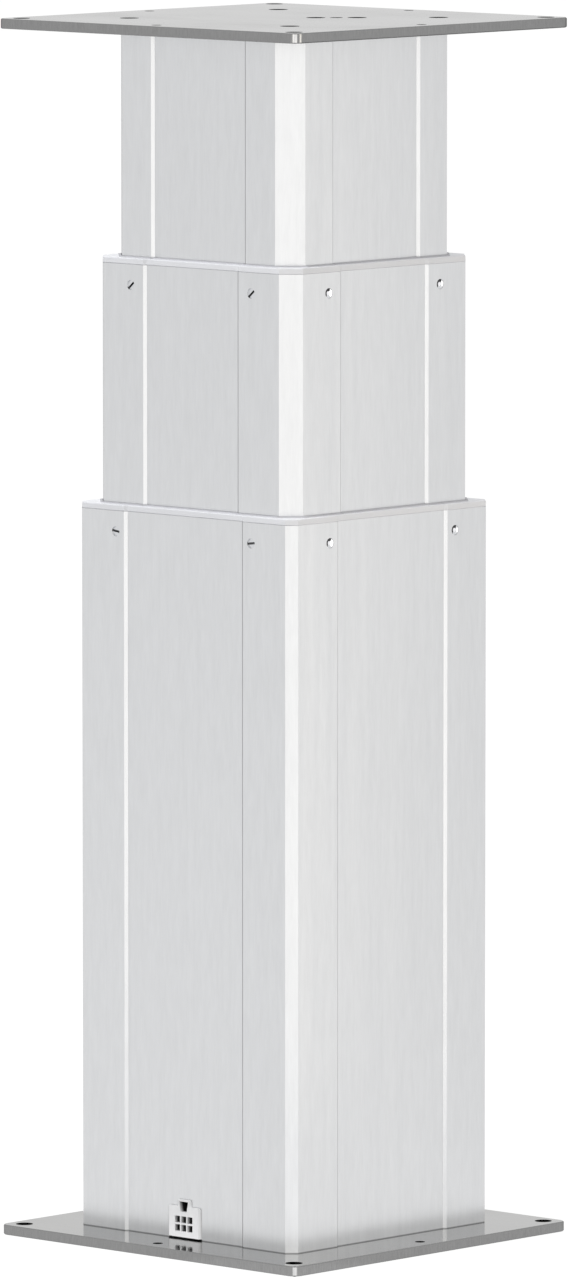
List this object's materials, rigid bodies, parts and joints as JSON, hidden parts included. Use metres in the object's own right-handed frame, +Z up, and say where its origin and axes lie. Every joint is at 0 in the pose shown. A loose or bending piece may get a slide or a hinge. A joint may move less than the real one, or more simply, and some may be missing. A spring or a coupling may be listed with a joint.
{
  "type": "electric lifting column",
  "caption": "Square three-stage telescopic lifting column with stepped aluminium profiles, square end plates, a motor socket at the foot and a telescopic screw drive inside.",
  "frame": {"origin": "middle of the underside of the base plate", "axes": "+Z up along the column, the way it extends; -Y out of the face that holds the socket; +X to the right of that face"},
  "size_m": [0.2, 0.2, 0.604],
  "materials": {
    "profile_aluminium": "fine vertical brushing, clear anodised",
    "plate_steel": "polished, nearly mirror, with fine brushing on the edges",
    "rim_plastic": "smooth satin",
    "wiper_rubber": "moulded lip, matt",
    "pad_plastic": "smooth, low friction",
    "set_screw_steel": "zinc plated",
    "dark_screw_steel": "black oxide",
    "socket_plastic": "moulded, slightly glossy",
    "contact_metal": "tin plated",
    "lead_sheath": "flat six-core sheath",
    "case_plastic": "moulded, glass filled",
    "lid_aluminium": "cast and machined",
    "bronze": "turned, oiled",
    "bearing_steel": "ground",
    "motor_paint": "black paint",
    "gear_plastic": "machined acetal",
    "screw_steel": "rolled thread, greased"
  },
  "bodies": {
    "base_stage": {"base_plate": "plate_steel", "profile_foot_screws": "dark_screw_steel", "outer_profile": "profile_aluminium", "outer_rim_cap": "rim_plastic", "outer_wiper": "wiper_rubber", "outer_set_screws": "set_screw_steel", "outer_adjusting_pads": "pad_plastic", "outer_fixed_pads": "pad_plastic", "socket_housing": "socket_plastic", "socket_contacts": "contact_metal", "motor_lead": "lead_sheath", "gear_case": "case_plastic", "gear_case_lid": "lid_aluminium", "gear_case_screws": "set_screw_steel", "drive_rod_bush": "bronze", "drive_rod_bearing": "bearing_steel", "motor_housing": "motor_paint", "motor_end_cap": "case_plastic", "motor_screws": "set_screw_steel", "fixed_screw": "screw_steel", "fixed_screw_bolts": "dark_screw_steel", "fixed_screw_bush": "bronze"},
    "pinion_shaft": {"motor_shaft": "bearing_steel", "motor_pinion": "bearing_steel"},
    "drive_shaft": {"drive_rod": "bearing_steel", "driven_gear": "gear_plastic", "driver_head": "screw_steel", "drive_pins": "dark_screw_steel"},
    "mid_stage": {"mid_profile": "profile_aluminium", "mid_rim_cap": "rim_plastic", "mid_wiper": "wiper_rubber", "mid_set_screws": "set_screw_steel", "mid_adjusting_pads": "pad_plastic", "mid_fixed_pads": "pad_plastic", "mid_foot_pads": "pad_plastic", "mid_bracket": "lid_aluminium", "mid_bracket_screws": "dark_screw_steel", "lower_thrust_bearing": "bearing_steel", "upper_thrust_bearing": "bearing_steel", "bearing_retainer": "screw_steel", "retainer_screws": "dark_screw_steel"},
    "hollow_screw_shaft": {"hollow_screw": "screw_steel", "inner_nut": "bronze"},
    "inner_stage": {"inner_profile": "profile_aluminium", "top_plate": "plate_steel", "top_plate_screws": "dark_screw_steel", "inner_foot_pads": "pad_plastic", "push_tube": "lid_aluminium", "push_tube_plug": "lid_aluminium", "push_tube_screws": "dark_screw_steel", "outer_nut": "bronze", "outer_nut_screws": "dark_screw_steel"}
  },
  "joints": [
    {"name": "mid_slide", "type": "slide", "parent": "base_stage", "child": "mid_stage", "axis": [0, 0, 1], "range_m": [-0.105, 0.095]},
    {"name": "inner_slide", "type": "slide", "parent": "mid_stage", "child": "inner_stage", "axis": [0, 0, 1], "range_m": [-0.105, 0.095]},
    {"name": "hollow_screw_spin", "type": "hinge", "parent": "mid_stage", "child": "hollow_screw_shaft", "pos_m": [0.01824, 0.01824, 0.155], "axis": [0, 0, 1], "range_deg": [-3780.5, 3420.5]},
    {"name": "drive_rod_spin", "type": "hinge", "parent": "base_stage", "child": "drive_shaft", "pos_m": [0.01824, 0.01824, 0.02], "axis": [0, 0, 1], "range_deg": [-3780.5, 3420.5]},
    {"name": "pinion_spin", "type": "hinge", "parent": "base_stage", "child": "pinion_shaft", "pos_m": [-0.02418, -0.02418, 0.02], "axis": [0, 0, 1], "range_deg": [-7980.5, 8820.5]}
  ],
  "couplings": [
    {"joint": "inner_slide", "follows": "mid_slide", "ratio": 1},
    {"joint": "hollow_screw_spin", "follows": "mid_slide", "rad_per_m": 628.32},
    {"joint": "drive_rod_spin", "follows": "mid_slide", "rad_per_m": 628.32},
    {"joint": "pinion_spin", "follows": "mid_slide", "rad_per_m": -1466.1}
  ]
}
